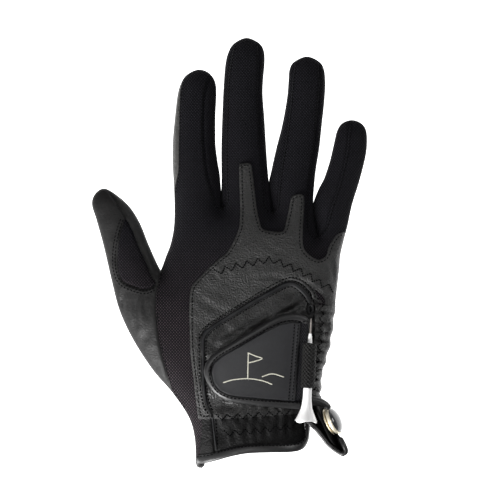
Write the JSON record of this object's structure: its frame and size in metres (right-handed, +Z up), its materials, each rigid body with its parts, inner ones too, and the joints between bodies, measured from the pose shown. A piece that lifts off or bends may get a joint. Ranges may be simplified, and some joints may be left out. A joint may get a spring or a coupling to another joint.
{
  "type": "golf glove",
  "caption": "Right-hand golf glove lying palm down, leather and mesh panels, closure tab, elastic loop holding a tee, and a removable ball marker on a cuff flap.",
  "frame": {"origin": "flat underside of the palm, level with the knuckles' heel side, between the index and middle fingers", "axes": "+Y towards the fingertips, -X towards the thumb, +Z up out of the back of the hand"},
  "size_m": [0.15, 0.234, 0.0297],
  "materials": {
    "leather": "fine grained dark grey leather, satin",
    "mesh": "black knitted mesh",
    "smooth_face": "smooth dark grey synthetic, soft sheen",
    "elastic": "black woven elastic",
    "thread": "grey stitching over elastic",
    "hook_pile": "hook and loop fabric",
    "white_plastic": "white, glossy",
    "rim_metal": "pale metal rim",
    "grey_plastic": "dark grey, glossy"
  },
  "bodies": {
    "glove": {"palm_leather": "leather", "thenar_leather": "leather", "back_mesh": "mesh", "closure_under_panel": "leather", "knuckle_overlay": "leather", "side_leather": "leather", "cuff_side_panel": "leather", "cuff_panel": "leather", "slit_binding": "elastic", "slit_curl": "elastic", "wrist_binding": "elastic", "knuckle_elastic": "thread", "side_elastic": "thread", "cuff_elastic_upper": "thread", "cuff_elastic_lower": "thread", "loop_pile_patch": "hook_pile", "tab_elastic_strip": "elastic", "tee_loop": "elastic", "marker_flap": "leather", "marker_flap_binding": "elastic", "marker_holder": "grey_plastic"},
    "index": {"index_back": "mesh", "index_gusset": "mesh", "index_radial_strip": "leather", "index_front": "leather"},
    "middle": {"middle_back": "mesh", "middle_gusset_ulnar": "mesh", "middle_gusset_radial": "mesh", "middle_front": "leather", "middle_knuckle_patch": "leather"},
    "ring": {"ring_back": "mesh", "ring_gusset_ulnar": "mesh", "ring_gusset_radial": "mesh", "ring_front": "leather", "ring_knuckle_patch": "leather"},
    "little": {"little_back": "mesh", "little_gusset": "mesh", "little_front": "leather"},
    "thumb": {"thumb_front": "leather", "thumb_inner": "leather", "thumb_outer": "leather", "thumb_insert": "mesh"},
    "closure_tab": {"tab_face": "smooth_face", "tab_hook_patch": "hook_pile", "tab_binding": "elastic"},
    "tee": {"tee": "white_plastic"},
    "ball_marker": {"marker_rim": "rim_metal", "marker_face": "grey_plastic"}
  },
  "joints": [
    {"name": "index_curl", "type": "hinge", "parent": "glove", "child": "index", "pos_m": [-0.0178, 0.0225, 0.0075], "axis": [-0.9999, 0.0122, 0], "range_deg": [0, 60]},
    {"name": "middle_curl", "type": "hinge", "parent": "glove", "child": "middle", "pos_m": [0.0088, 0.0245, 0.0075], "axis": [-1, 0.0035, 0], "range_deg": [0, 60]},
    {"name": "ring_curl", "type": "hinge", "parent": "glove", "child": "ring", "pos_m": [0.0324, 0.019, 0.0075], "axis": [-0.9928, 0.1201, 0], "range_deg": [0, 60]},
    {"name": "little_curl", "type": "hinge", "parent": "glove", "child": "little", "pos_m": [0.0526, 0.008, 0.0075], "axis": [-0.9751, 0.2215, 0], "range_deg": [0, 60]},
    {"name": "thumb_curl", "type": "hinge", "parent": "glove", "child": "thumb", "pos_m": [-0.0515, -0.0145, 0.0075], "axis": [-0.9379, -0.3469, 0], "range_deg": [0, 40]},
    {"name": "tab_open", "type": "hinge", "parent": "glove", "child": "closure_tab", "pos_m": [0.038, -0.059, 0.021], "axis": [0.0558, 0.9984, 0], "range_deg": [0, 75]},
    {"name": "tee_out", "type": "slide", "parent": "glove", "child": "tee", "axis": [-0.0491, -0.9988, 0], "range_m": [0, 0.055]},
    {"name": "marker_off", "type": "slide", "parent": "glove", "child": "ball_marker", "axis": [0.8624, 0.4212, 0.2808], "range_m": [0, 0.015]}
  ]
}
